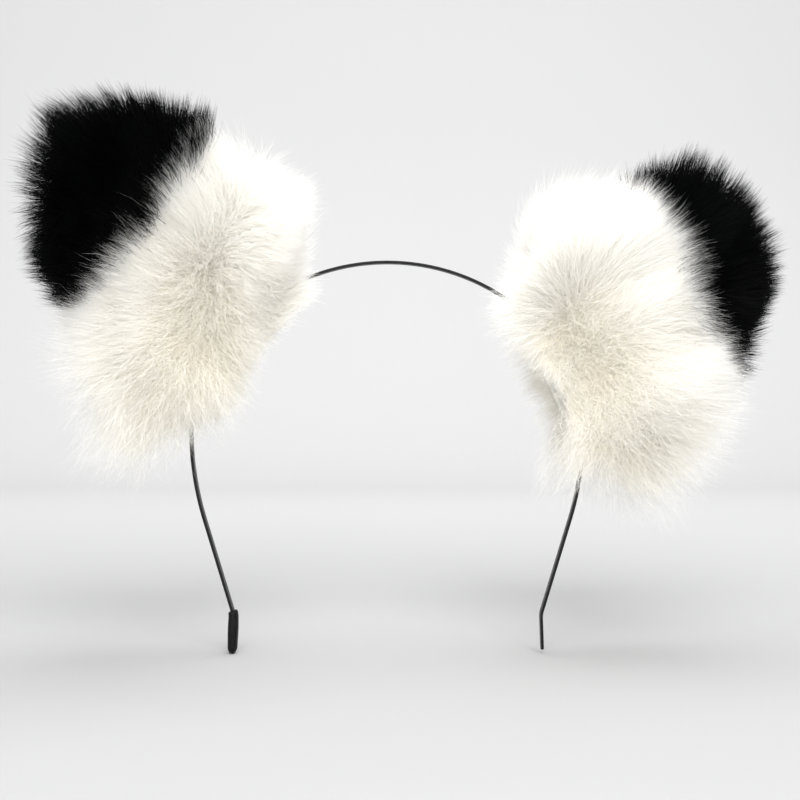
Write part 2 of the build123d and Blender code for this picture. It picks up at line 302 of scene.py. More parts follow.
class EnamelFinish(Finish):
    """Baked enamel on spring steel: soft gloss, drawn lines and flecks worn to the second colour."""

    def inputs(self, graph: Graph) -> dict[str, Any]:
        """Lines along the strip, orange peel and a few bare flecks."""
        lines = graph.noise(graph.place((1.0, 30.0, 1.0)), 90.0, 2.0)
        peel = graph.noise(graph.place(), 2200.0, 2.0)
        fleck = graph.noise(graph.place(), 420.0, 5.0, 0.65)
        bare = graph.math("GREATER_THAN", fleck, 0.74)
        return {
            "Base Color": graph.blend(bare * 0.6 + lines * 0.02, self.colour, self.second),
            "Roughness": 0.3 + 0.2 * lines + 0.2 * bare,
            "Metallic": 0.9 * bare,
            "Specular IOR Level": 0.14,
            "Normal": graph.bump(peel * 0.5 + lines * 0.5, 0.012 * MM),
        }


class RubberFinish(Finish):
    """Dipped rubber: a fine pebbled skin with a dusty bloom of the second colour, and no gloss."""

    def inputs(self, graph: Graph) -> dict[str, Any]:
        """Pebbles with bloom in the slow noise."""
        pebble = graph.noise(graph.place(), 2600.0, 3.0)
        bloom = graph.noise(graph.place(), 260.0, 4.0)
        return {
            "Base Color": graph.blend(bloom * 0.5, self.colour, self.second),
            "Roughness": 0.42 + 0.25 * bloom,
            "Specular IOR Level": 0.15,
            "Normal": graph.bump(pebble, 0.04 * MM),
        }


class ThreadFinish(Finish):
    """Twisted sewing thread, its plies lit in the second colour."""

    def inputs(self, graph: Graph) -> dict[str, Any]:
        """Slanted plies along the thread."""
        twist = {"Vector": graph.place(), "Scale": 900.0, "Distortion": 1.0}
        plies = graph.node("ShaderNodeTexWave", {"bands_direction": "DIAGONAL"}, twist)
        ply = Term(graph, plies.outputs["Fac"])
        return {
            "Base Color": graph.blend(ply, self.colour, self.second),
            "Roughness": 0.55 + 0.2 * ply,
            "Normal": graph.bump(ply, 0.06 * MM),
        }


class WireFinish(Finish):
    """Drawn steel wire with fine lines and patches dulled to the second colour."""

    def inputs(self, graph: Graph) -> dict[str, Any]:
        """Draw lines over tarnish."""
        lines = graph.noise(graph.place((6.0, 6.0, 1.0)), 900.0, 2.0)
        tarnish = graph.noise(graph.place(), 150.0, 4.0)
        return {
            "Base Color": graph.blend(tarnish, self.colour, self.second),
            "Metallic": 1.0,
            "Roughness": 0.25 + 0.25 * tarnish,
            "Normal": graph.bump(lines, 0.01 * MM),
        }


class PaperFinish(Finish):
    """The studio's pale paper sweep: a painted-shade tone on the floor and the second on the wall."""

    def inputs(self, graph: Graph) -> dict[str, Any]:
        """Matt paper with the faintest mottle, going from the floor's painted-shade tone to the wall's with
        depth.
        """
        where = graph.place()
        depth = graph.node("ShaderNodeSeparateXYZ", {}, {0: where}).outputs[1]
        reach = {"Value": depth, 1: -0.1, 2: 0.8}
        share = graph.node("ShaderNodeMapRange", {"interpolation_type": "SMOOTHSTEP"}, reach)
        # Painted shade: the floor is darker than the wall to offset the stronger light that falls on it.
        tone = graph.blend(Term(graph, share.outputs[0]), self.colour, self.second)
        return {
            "Base Color": graph.blend(0.03 * graph.noise(where, 6.0), tone, grey(1.0)),
            "Roughness": 0.95,
            "Specular IOR Level": 0.1,
        }


PILE_MAP = "OFBake"
# White pile: the cream roots are partly its own tone and partly painted shade deep in the pile; the cream
# blend colour is a random tint plus painted shade in the mussed parting.
WHITE_PILE = FurFinish(
    name="white_pile",
    root=(0.96, 0.93, 0.87, 1.0),
    middle=(0.975, 0.965, 0.94, 1.0),
    tip=(0.99, 0.987, 0.98, 1.0),
    cream_tint_and_shade=(0.93, 0.84, 0.60, 1.0),
    tint_and_shade_share=0.85,
    through=0.55,
    through_colour=(0.98, 0.973, 0.952, 1.0),
    roughness=0.6,
    specular=0.25,
)
# Black pile: the tips are a little lighter and bluer than the roots, a painted sheen at the strand tips.
BLACK_PILE = FurFinish(
    name="black_pile",
    root=(0.0008, 0.0008, 0.0009, 1.0),
    middle=(0.001, 0.001, 0.0011, 1.0),
    tip=(0.0018, 0.0021, 0.0023, 1.0),
    cream_tint_and_shade=(0.0024, 0.0022, 0.002, 1.0),
    tint_and_shade_share=0.5,
    through=0.1,
    through_colour=(0.003, 0.0034, 0.0037, 1.0),
    roughness=0.55,
    specular=0.05,
)
# The backing's darker second colour is painted shade between the knit rows.
WHITE_BACKING = BackingFinish("white_backing", (0.88, 0.83, 0.70, 1.0), (0.74, 0.68, 0.53, 1.0))
WHITE_FELT = FeltFinish("white_felt", (0.80, 0.77, 0.69, 1.0), (0.90, 0.88, 0.82, 1.0))
BLACK_FELT = FeltFinish("black_felt", grey(0.012), grey(0.05))
STIFF_FELT = FeltFinish("stiff_felt", (0.74, 0.72, 0.66, 1.0), (0.86, 0.85, 0.80, 1.0))
BLACK_ENAMEL = EnamelFinish("black_enamel", (0.003, 0.003, 0.0032, 1.0), (0.30, 0.30, 0.31, 1.0))
BLACK_RUBBER = RubberFinish("black_rubber", (0.002, 0.002, 0.002, 1.0), (0.006, 0.006, 0.0062, 1.0))
BLACK_THREAD = ThreadFinish("black_thread", grey(0.01), grey(0.045))
STEEL_WIRE = WireFinish("steel_wire", (0.56, 0.56, 0.57, 1.0), (0.38, 0.37, 0.36, 1.0))


# Meshes -----------------------------------------------------------------------------------------------


def unit(vectors: Array) -> Array:
    """Vectors scaled to length one, along the last axis."""
    return vectors / np.maximum(np.linalg.norm(vectors, axis=-1, keepdims=True), 1e-12)


def smooth(low: float, high: float, value: Array) -> Array:
    """0 below low, 1 above high, and 3t^2 - 2t^3 between them."""
    t = np.clip((value - low) / (high - low), 0.0, 1.0)
    return t * t * (3.0 - 2.0 * t)


def solid_mesh(name: str, points: Array, corners: Array, counts: Array) -> Object:
    """A mesh object from whole arrays.

    Args:
        name: the object's name.
        points: (n, 3) places of its vertices.
        corners: the vertex numbers of every face, one face after another.
        counts: how many corners each face has.

    Returns:
        The object, linked to the scene, smooth shaded.
    """
    mesh = bpy.data.meshes.new(name)
    mesh.vertices.add(len(points))
    mesh.vertices.foreach_set("co", np.ascontiguousarray(points, np.float32).ravel())
    mesh.loops.add(len(corners))
    mesh.loops.foreach_set("vertex_index", np.ascontiguousarray(corners, np.int32))
    starts = np.concatenate(([0], np.cumsum(counts)[:-1])).astype(np.int32)
    mesh.polygons.add(len(counts))
    mesh.polygons.foreach_set("loop_start", starts)
    mesh.polygons.foreach_set("use_smooth", np.ones(len(counts), bool))
    mesh.update(calc_edges=True)
    mesh.validate()
    made = bpy.data.objects.new(name, mesh)
    bpy.context.scene.collection.objects.link(made)
    return made


def grid_faces(rows: int, columns: int, closed: bool, first: int = 0) -> Array:
    """Corner numbers of the quads of a grid of points, closed round its columns or open."""
    across = columns if closed else columns - 1
    row, column = lattice(np.arange(rows - 1), np.arange(across))
    beside = (column + 1) % columns
    here, above = first + row * columns, first + (row + 1) * columns
    return np.stack([here + column, here + beside, above + beside, above + column], axis=-1).reshape(-1, 4)


def grid_object(name: str, grids: Iterable[Array], solid: bool) -> Object:
    """One object from one or more grids of points.

    Args:
        name: the object's name.
        grids: points, each (rows, columns, 3).
        solid: True for a closed body whose rows are rings, False for a sheet that is open at its sides.

    Returns:
        The object, its rings that were drawn in merged to one point. A body's ends are filled and its
        faces point outwards.
    """
    points, quads, first = [], [], 0
    for grid in grids:
        rows, columns = grid.shape[:2]
        points.append(grid.reshape(-1, 3))
        quads.append(grid_faces(rows, columns, solid, first))
        first += rows * columns
    faces = np.concatenate(quads)
    made = solid_mesh(name, np.concatenate(points), faces.ravel(), np.full(len(faces), 4, np.int32))
    work = bmesh.new()
    work.from_mesh(made.data)
    bmesh.ops.remove_doubles(work, verts=work.verts, dist=1e-7)
    bmesh.ops.dissolve_degenerate(work, edges=work.edges, dist=1e-8)
    if solid:
        bmesh.ops.holes_fill(work, edges=work.edges, sides=0)
        bmesh.ops.recalc_face_normals(work, faces=work.faces)
    work.to_mesh(made.data)
    work.free()
    return made


def dress(made: Object, material: Material, slot: str) -> None:
    """Gives a piece its material and logs how many faces it has."""
    made.data.materials.clear()
    made.data.materials.append(material)
    LOG.info("%s: %d faces", made.name, len(made.data.polygons))


def rounded_rectangle(width: float, height: float, radius: float, steps: int) -> Array:
    """Outline of a rectangle with round corners: a quarter turn about each corner's centre in turn."""
    turn = np.linspace(0.0, math.pi / 2, steps)
    corners = []
    for number, signs in enumerate(((1, 1), (-1, 1), (-1, -1), (1, -1))):
        angle = turn + number * math.pi / 2
        centre = np.array(signs) * (width / 2 - radius, height / 2 - radius)
        corners.append(centre + radius * np.stack([np.cos(angle), np.sin(angle)], axis=-1))
    return np.concatenate(corners)


def superellipse(half_width: float, half_height: float, power: float, turn: Array) -> Array:
    """Points (W |cos t|^p, H |sin t|^p), with the signs of the cosine and the sine."""
    cos, sin = np.cos(turn), np.sin(turn)
    x = half_width * np.sign(cos) * np.abs(cos) ** power
    return np.stack([x, half_height * np.sign(sin) * np.abs(sin) ** power], axis=-1)


def around(steps: int) -> Array:
    """Angles of a whole turn, in even steps."""
    return np.linspace(0.0, 2 * math.pi, steps, endpoint=False)


def lattice(first: Array, second: Array) -> list[Array]:
    """Two parameters over a grid, the first one changing from row to row."""
    return np.meshgrid(first, second, indexing="ij")


# Strip ------------------------------------------------------------------------------------------------


@dataclass(frozen=True)
class StripRoute:
    """The steel strip's centre line: arcs and straights that follow each other from the crown."""

    width: float = 5.0 * MM
    thickness: float = 1.0 * MM
    edge_radius: float = 0.35 * MM
    end_radius: float = 1.6 * MM
    crown_radius: float = 80.0 * MM
    crown_half_angle: float = math.radians(50.0)
    temple_radius: float = 54.0 * MM
    arm_radius: float = 115.0 * MM
    arm_inward: float = math.radians(17.0)
    arm_straight: float = 36.0 * MM
    kink_radius: float = 8.0 * MM
    kink_outward: float = math.radians(2.0)
    end_straight: float = 12.0 * MM

    def runs(self) -> list[tuple[float, Optional[float]]]:
        """Length and radius of each run; a negative radius turns outwards and none is straight."""
        return [
            (self.crown_radius * self.crown_half_angle, self.crown_radius),
            (self.temple_radius * (math.pi / 2 - self.crown_half_angle), self.temple_radius),
            (self.arm_radius * self.arm_inward, self.arm_radius),
            (self.arm_straight, None),
            (self.kink_radius * (self.arm_inward + self.kink_outward), -self.kink_radius),
            (self.end_straight, None),
        ]

    def half_length(self) -> float:
        """Length from the crown to either end."""
        return sum(length for length, _ in self.runs())

    def frame_at(self, along: Array) -> tuple[Array, Array, Array]:
        """Places on the strip.

        Each run adds its arc or straight to where the one before it ended, and the left side is the
        right side mirrored in x.

        Args:
            along: distances from the crown, negative to the left.

        Returns:
            Centres, unit tangents towards +along and unit outward normals, each (n, 3).
        """
        side = np.where(along < 0, -1.0, 1.0)
        left = np.abs(along)
        x, z, heading = np.zeros_like(left), np.full_like(left, self.thickness / 2), np.zeros_like(left)
        runs = self.runs()
        for number, (length, radius) in enumerate(runs):
            last = number == len(runs) - 1
            step = np.maximum(left, 0.0) if last else np.clip(left, 0.0, length)
            if radius is None:
                x, z = x + step * np.cos(heading), z - step * np.sin(heading)
            else:
                turned = heading + step / radius
                x = x + radius * (np.sin(turned) - np.sin(heading))
                z = z - radius * (np.cos(heading) - np.cos(turned))
                heading = turned
            left = left - length
        turn = heading * side
        zero = np.zeros_like(x)
        return (
            np.stack([side * x, zero, z], axis=-1),
            np.stack([np.cos(turn), zero, -np.sin(turn)], axis=-1),
            np.stack([np.sin(turn), zero, np.cos(turn)], axis=-1),
        )

    def sweep(self, along: Array, profile: Array) -> Array:
        """Carries a profile along the strip.

        Point (i, j) is centre i plus y times the profile's first value and outwards times its second.

        Args:
            along: (n,) distances from the crown.
            profile: (n, m, 2) or (m, 2) outlines, across the strip and outwards.

        Returns:
            (n, m, 3) points.
        """
        centres, _, outward = self.frame_at(along)
        shape = np.broadcast_to(profile, (len(along),) + profile.shape[-2:])
        across = np.array([0.0, 1.0, 0.0])
        return centres[:, None, :] + shape[..., :1] * across + shape[..., 1:] * outward[:, None, :]


@dataclass
class Headband:
    """The strip in two halves that meet at the crown, and the moulded tip on the left end."""

    route: StripRoute = field(default_factory=StripRoute)
    stations: int = 300
    bend_from: float = 2.0 * MM
    bend_to: float = 33.0 * MM
    tip_cover: float = 14.5 * MM
    tip_overrun: float = 1.6 * MM
    tip_half_thickness: float = 1.95 * MM
    tip_half_width: float = 3.3 * MM
    tip_bottom: float = 2.6 * MM
    tip_mouth: float = 0.9 * MM
    tip_mouth_size: float = 0.72
    tip_swell: float = 0.08
    tip_bore: float = 0.42
    tip_power: float = 2.6

    def half_strip(self, side: int, enamel: Material) -> None:
        """One half of the strip, from the crown to its end.

        The profile is a rectangle with round edges. Near the end its half width follows a quarter
        circle, so that the end is round in plan, and the last ring is drawn in to close it.

        Args:
            side: -1 for the left half and 1 for the right.
            enamel: its material.
        """
        route = self.route
        end = route.half_length()
        near = route.end_radius * (1 - np.cos(np.linspace(0, math.pi / 2, 12)))
        plain = np.linspace(0, end - route.end_radius, self.stations)
        along = np.concatenate([plain, (end - near)[::-1][1:]])
        from_end = np.clip((end - along) / route.end_radius, 0.0, 1.0)
        inner = route.width / 2 - route.end_radius
        half = inner + route.end_radius * np.sqrt(1 - (1 - from_end) ** 2)
        outline = rounded_rectangle(route.width, route.thickness, route.edge_radius, 5)
        profile = outline[None] * np.stack([half / (route.width / 2), np.ones_like(half)], axis=-1)[:, None]
        grid = route.sweep(side * along, profile)
        cap = np.repeat(grid[-1].mean(axis=0)[None], grid.shape[1], axis=0)[None]
        name = "left_half_strip" if side < 0 else "right_half_strip"
        made = grid_object(name, [np.concatenate([grid, cap])], solid=True)
        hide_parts(*(("band_crown", "band_left_arm") if side < 0 else ("band_right_arm",)))
        dress(made, enamel, "black_strip")
        bends, _, _ = route.frame_at(np.array([side * self.bend_from, side * self.bend_to]))
        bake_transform(made)

    def end_tip(self, rubber: Material) -> None:
        """The moulded tip: a capsule on the strip's own line.

        Its outline is a superellipse. Along the tip its size follows a long ellipse quarter at the
        bottom and a short one at the mouth, and swells a little in the middle.

        Args:
            rubber: its material.
        """

        def quarter(from_edge: Array, length: float) -> Array:
            """0 at an edge, rising as an ellipse's quarter to 1 at this length from it."""
            return np.sqrt(1 - (1 - np.clip(from_edge / length, 0, 1)) ** 2.0)

        end = self.route.half_length()
        start, stop = end - self.tip_cover, end + self.tip_overrun
        share = 0.5 - 0.5 * np.cos(np.linspace(0.0, math.pi, 60))
        along = start + (stop - start) * share
        mouth = self.tip_mouth_size + (1 - self.tip_mouth_size) * quarter(along - start, self.tip_mouth)
        swell = 1 - self.tip_swell + self.tip_swell * np.sin(math.pi * np.clip(share * 1.15, 0, 1)) ** 2
        size = quarter(stop - along, self.tip_bottom) * mouth * swell
        power = 2.0 / self.tip_power
        outline = superellipse(self.tip_half_width, self.tip_half_thickness, power, around(48))
        body = self.route.sweep(-along, outline[None] * size[:, None, None])
        bore = self.route.sweep(-along[:1], outline[None] * self.tip_bore)
        made = grid_object("end_tip", [np.concatenate([bore, body])], solid=True)
        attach(made, "left_arm")
        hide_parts("left_end_tip")
        dress(made, rubber, "rubber_tip")

    def build(self) -> None:
        """Makes the strip and the tip."""
        enamel, rubber = BLACK_ENAMEL.material(), BLACK_RUBBER.material()
        for side in (-1, 1):
            self.half_strip(side, enamel)
        self.end_tip(rubber)


@dataclass
class Sleeve:
    """The felt sleeve round the strip under one ear, with its two thread bindings."""

    name: str
    along: float
    route: StripRoute
    half_length: float = 31.0 * MM
    felt: float = 1.2 * MM
    clearance: float = 0.05 * MM
    thread: float = 0.2 * MM
    turns: int = 5
    inset: float = 1.2 * MM
    corner_power: float = 0.7
    lumps: float = 0.02
    lump_rate: float = 23.0
    end_taper: float = 0.08
    end_power: int = 24

    def outline(self, turn: Array, extra: float) -> Array:
        """A flat superellipse round the strip, this much larger than the felt."""
        room = self.felt + self.clearance + extra
        half_width, half_height = self.route.width / 2 + room, self.route.thickness / 2 + room
        return superellipse(half_width, half_height, self.corner_power, turn)

    def wrap(self, material: Material) -> None:
        """The felt: the outline swept along the strip, a little lumpy, its ends drawn in to the strip."""
        turn = around(48)
        share = np.linspace(-1.0, 1.0, 120)
        lumps = 1 - self.lumps * (1 + np.sin(self.lump_rate * share[:, None] + 2 * np.sin(turn)[None]))
        ends = 1 - self.end_taper * np.abs(share[:, None]) ** self.end_power
        along = self.along + self.half_length * share
        grid = self.route.sweep(along, self.outline(turn, 0.0)[None] * (lumps * ends)[..., None])
        closing = self.outline(turn, -self.felt * 0.9)
        first, last = (self.route.sweep(along[[i]], closing) for i in (0, -1))
        rings = np.concatenate([first, grid, last])
        made = grid_object(f"{self.name}_felt_sleeve", [rings], solid=True)
        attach(made, f"{self.name}_arm")
        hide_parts(f"{self.name}_sleeve")
        dress(made, material, "black_felt")

    def bindings(self, material: Material) -> None:
        """The thread: a round tube along a helix that winds on the felt near both ends."""
        grids = []
        turn = np.linspace(0.0, 2 * math.pi * self.turns, 64 * self.turns)
        ring = around(8)[None, :, None]
        for side in (-1, 1):
            width = 2 * self.thread * self.turns
            centre = self.along + side * (self.half_length - self.inset - width / 2)
            along = centre + width * (turn / turn[-1] - 0.5)
            line = self.route.sweep(along, self.outline(turn, 0.0)[:, None])[:, 0]
            middle, tangent, _ = self.route.frame_at(along)
            out = unit(line - middle)
            round_it = np.cos(ring) * out[:, None] + np.sin(ring) * tangent[:, None]
            grids.append(line[:, None] + self.thread * round_it)
        made = grid_object(f"{self.name}_thread_bindings", grids, solid=True)
        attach(made, f"{self.name}_arm")
        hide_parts(f"{self.name}_sleeve_bindings")
        dress(made, material, "thread")


# Ears -------------------------------------------------------------------------------------------------


class Zone(Enum):
    """The three panels that the ear's pile is cut in."""

    FRONT = "front"
    BACK = "back"
    TIP = "tip"


@dataclass(frozen=True)
class Coat:
    """How one coat of pile grows, with a front's long pile as it is unless said otherwise.

    Leans are shares of the comb direction against the skin's normal.
    """

    seed: int
    strands: int = 26000
    segments: int = 4
    length: float = 27.0 * MM
    rim_length: float = 22.0 * MM
    spread: float = 0.17
    lean_root: float = 0.44
    lean_tip: float = 0.84
    droop: float = 0.2
    half_width: float = 0.085 * MM
    tufts: int = 130
    locks: int = 2600
    tuft_pull: float = 0.35
    lock_pull: float = 0.62
    wander: float = 0.09
    curl: float = 0.07
    curl_turns: float = 1.1


@dataclass(frozen=True)
class Grooming:
    """How every coat lies at the ear's edges and where it is mussed. Pairs are distances, from and to."""

    root_depth: float = 0.8 * MM
    seam_band: float = 13.0 * MM
    seam_upright: float = 0.5
    seam_shorter: float = 0.22
    above_parting: Span = (2.0 * MM, 30.0 * MM)
    upwards: float = 0.6
    gathered: float = 0.4
    hanging: Span = (2.0 * MM, 16.0 * MM)
    hang: float = 0.3
    hem: Span = (0.0, 16.0 * MM)
    hem_end: Span = (16.0 * MM, 36.0 * MM)
    hem_shorter: float = 0.42
    low: Span = (6.0 * MM, 40.0 * MM)
    high: Span = (40.0 * MM, 62.0 * MM)
    sideways: Span = (0.0, 24.0 * MM)
    mussed_facing: float = 0.3
    mussed_shorter: float = 0.25
    mussed_loose: float = 0.3
    mussed_curl: float = 0.6
    # Painted shade: how far mussed strands are blended towards the cream colour.
    mussed_painted_shade: float = 0.65
    wander_root: float = 0.4
    wander_growth: float = 0.8
    flow: float = 0.2
    mussed_flow: float = 0.3
    length_range: Span = (-2.2, 1.8)
    least_kept: float = 0.2
    facing_spread: float = 0.55
    taper: float = 0.55


@dataclass(frozen=True)
class Trim:
    """How much longer than its coat says the pile is, as a share, at places on one ear."""

    top: float
    high_inner: float
    high_outer: float
    low_inner: float
    low_outer: float


@dataclass(frozen=True)
class EarShape:
    """The sewn ear under the pile, in the ear's own axes.

    Above the hinge line each level is an ellipse. Its half width is W sqrt(1 - s^2) and its half depth
    D sqrt(1 - s^2.4), where s is the height over the full height, and it leans sideways as it rises.
    """

    half_width: float = 38.0 * MM
    half_depth: float = 13.0 * MM
    height: float = 76.0 * MM
    drop: float = 3.0 * MM
    lean: float = 0.231
    tunnel: float = 9.0 * MM
    felt: float = 0.8 * MM
    flange_share: float = 0.98

    def lowest(self, turn: Array) -> Array:
        """The skin's lower edge: where the tunnel round the sleeve meets it, or the flat base."""
        y = self.half_depth * np.sin(turn)
        arch = np.sqrt(np.maximum(self.tunnel**2 - y**2, 0.0))
        return np.where(np.abs(y) < self.tunnel, arch, -self.drop)

    def point(self, share: Array, turn: Array) -> Array:
        """A point of the skin.

        Args:
            share: 0 at the lower edge to 1 at the top.
            turn: angle round the ear, 0 at +x and negative sines at the front.

        Returns:
            Points with the inputs' shape and a last axis of 3.
        """
        low = self.lowest(turn)
        z = low + share * (self.height - low)
        rise = np.clip(z / self.height, 0.0, 1.0)
        width = self.half_width * np.sqrt(np.maximum(1 - rise**2, 0.0))
        depth = self.half_depth * np.sqrt(np.maximum(1 - rise**2.4, 0.0))
        return np.stack([width * np.cos(turn) + self.lean * z, depth * np.sin(turn), z], axis=-1)

    def underside(self, share: Array, turn: Array) -> Array:
        """A point under the ear, on a line straight out sideways from above the tunnel's middle.

        Args:
            share: 0 at the middle to 1 at the skin's lower edge.
            turn: as for the skin.

        Returns:
            Points with the inputs' shape and a last axis of 3.
        """
        edge = self.point(np.zeros_like(share), turn)
        middle = self.lean * edge[..., 2]
        edge[..., 0] = middle + share * (edge[..., 0] - middle)
        return edge

    def normal(self, share: Array, turn: Array) -> Array:
        """Outward unit normals, from the cross product of small steps in both parameters."""
        step = 1e-4
        share = np.clip(share, step, 1 - 2 * step)
        up = self.point(share + step, turn) - self.point(share - step, turn)
        across = self.point(share, turn + step) - self.point(share, turn - step)
        return unit(np.cross(across, up))


@dataclass
class Ear:
    """One ear in its own axes, from its hinge: the padded backing, the lining and the pile."""

    name: str
    along: float
    tilt: float
    parting: tuple[Span, Span]
    softness: float
    mussed: float
    seam: float
    seam_slope: float
    trim: Trim
    coats: Mapping[Zone, Sequence[Coat]]
    shape: EarShape = field(default_factory=EarShape)
    groom: Grooming = field(default_factory=Grooming)

    def __post_init__(self) -> None:
        """Sets the ear's axes from its hinge in the record and its tilt at rest."""
        joints = {joint["name"]: joint for joint in frame["record"]["behaviour"]["joints"]}
        hinge = joints[f"{self.name}_ear_tilt"]
        self.origin = np.array(hinge["pos_m"], float)
        x_dir = unit(np.array(hinge["axis"], float))
        outward, back = np.array([-x_dir[2], 0.0, x_dir[0]]), np.array([0.0, 1.0, 0.0])
        turn = math.radians(self.tilt)
        z_dir = outward * math.cos(turn) - back * math.sin(turn)
        y_dir = back * math.cos(turn) + outward * math.sin(turn)
        self.axes = np.stack([x_dir, y_dir, z_dir])
        self.body = f"{self.name}_ear"
        self.side = -1 if self.along < 0 else 1
        self.shape = replace(self.shape, lean=-self.side * self.shape.lean)
        self.down = self.axes @ np.array([0.0, 0.0, -1.0])

    def world(self, points: Array) -> Array:
        """Points of the ear's own axes in the model's frame."""
        return self.origin + points @ self.axes

    def skin(self, white: Material, black: Material) -> None:
        """The stuffed backing: the shape's underside and skin, with the black panel above the seam."""
        turn = around(128)
        below = self.shape.underside(*lattice(np.linspace(0.0, 0.75, 4), turn))
        skin = self.shape.point(*lattice(np.linspace(0.0, 1.0, 64), turn))
        whole = self.world(np.concatenate([below, skin]))
        made = grid_object(f"{self.name}_ear_pad", [whole], solid=True)
        made.data.materials.append(white)
        made.data.materials.append(black)
        centres = (face_centres(made) - self.origin) @ self.axes.T
        made.data.polygons.foreach_set("material_index", (self.past_seam(centres) > 0).astype(np.int32))
        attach(made, self.body)
        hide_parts(f"{self.name}_ear_stuffing")
        LOG.info("%s: %d faces", made.name, len(made.data.polygons))

    def lining(self, material: Material) -> None:
        """The felt lining: an arch over the tunnel with a flat flange on each side.

        The arch runs from side to side until it meets the skin, so at height z and depth y its half
        length is W sqrt(1 - (z/H)^2) sqrt(1 - (y/D)^2).
        """
        shape = self.shape
        foot = math.acos(-shape.drop / shape.tunnel)
        bend = np.linspace(-foot, foot, 60)
        arch = np.stack([shape.tunnel * np.sin(bend), shape.tunnel * np.cos(bend)], axis=-1)
        edge = shape.half_depth * shape.flange_share
        flange = np.linspace(edge, abs(arch[0, 0]), 8, endpoint=False)
        flat = np.full_like(flange, -shape.drop)
        y = np.concatenate([-flange, arch[:, 0], flange[::-1]])
        z = np.concatenate([flat, arch[:, 1], flat])
        rise = np.clip(z / shape.height, 0.0, 1.0)
        inside = np.maximum(1 - (y / shape.half_depth) ** 2, 0)
        reach = shape.half_width * np.sqrt(1 - rise**2) * np.sqrt(inside)
        share = np.linspace(-1.0, 1.0, 40)[:, None]
        grid = np.stack(np.broadcast_arrays(share * reach + shape.lean * z, y, z), axis=-1)
        made = grid_object(f"{self.name}_ear_lining", [self.world(grid)], solid=False)
        thick = made.modifiers.new("felt", "SOLIDIFY")
        thick.thickness = shape.felt
        thick.offset = 0.0
        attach(made, self.body)
        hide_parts(f"{self.name}_ear_base_felt")
        dress(made, material, "white_felt")

    def past_seam(self, points: Array) -> Array:
        """How far points of the ear's own axes are past the seam, which slopes across the ear."""
        return points[..., 2] - self.seam - self.seam_slope * points[..., 0]

    def from_parting(self, roots: Array) -> Array:
        """Each root less the nearest point of the parting, a line in the ear's plane."""
        start, end = (np.array([place[0], 0.0, place[1]]) for place in self.parting)
        flat = roots * np.array([1.0, 0.0, 1.0])
        run = end - start
        share = np.clip(((flat - start) @ run) / max(np.sum(run**2), 1e-12), 0.0, 1.0)
        return flat - start - share[:, None] * run

    def comb(self, roots: Array) -> Array:
        """The way the pile is combed: away from the parting, and more and more upwards above it.

        It is a / sqrt(|a|^2 + r^2) for the way a from the parting, so it fades out at the parting.
        """
        away = self.from_parting(roots)
        combed = away / np.sqrt(np.sum(away**2, axis=1, keepdims=True) + self.softness**2)
        rise = smooth(*self.groom.above_parting, away[:, 2])
        combed[:, 2] += self.groom.upwards * rise
        return combed / (1 + self.groom.gathered * rise[:, None])

    def muss(self, roots: Array, normals: Array) -> Array:
        """How mussed the pile is: 1 at the parting on the front, fading as exp(-(d / r)^2)."""
        distance = np.sum(self.from_parting(roots) ** 2, axis=1)
        return np.exp(-distance / self.mussed**2) * (normals[:, 1] < self.groom.mussed_facing)

    def sow(self, zone: Zone, count: int, rng: np.random.Generator) -> tuple[Array, Array]:
        """Spreads roots evenly over one panel.

        The skin is cut in small cells. Roots fall at even steps of the running sum of the cells'
        areas, each at a random place in its cell.

        Args:
            zone: the panel.
            count: how many roots.
            rng: the source of chance.

        Returns:
            Roots and outward normals, each (count, 3), in the ear's axes.
        """
        rows, columns = 220, 440
        point = self.shape.point
        share, turn = lattice(
            (np.arange(rows) + 0.5) / rows, 2 * math.pi * (np.arange(columns) + 0.5) / columns
        )
        step_s, step_t = 0.5 / rows, math.pi / columns
        up = point(np.minimum(share + step_s, 1), turn) - point(share - step_s, turn)
        round_it = point(share, turn + step_t) - point(share, turn - step_t)
        area = np.linalg.norm(np.cross(up, round_it), axis=-1)
        tip = self.past_seam(point(share, turn)) > 0
        front = np.sin(turn) < 0.0
        chosen = {Zone.TIP: tip, Zone.FRONT: ~tip & front, Zone.BACK: ~tip & ~front}[zone]
        total = np.cumsum((area * chosen).ravel())
        picks = (np.arange(count) + rng.random(count)) / count * total[-1]
        cell = np.minimum(np.searchsorted(total, picks), rows * columns - 1)
        at_s = np.clip((cell // columns + rng.random(count)) / rows, 0.0, 0.9995)
        at_t = 2 * math.pi * (cell % columns + rng.random(count)) / columns
        return point(at_s, at_t), self.shape.normal(at_s, at_t)

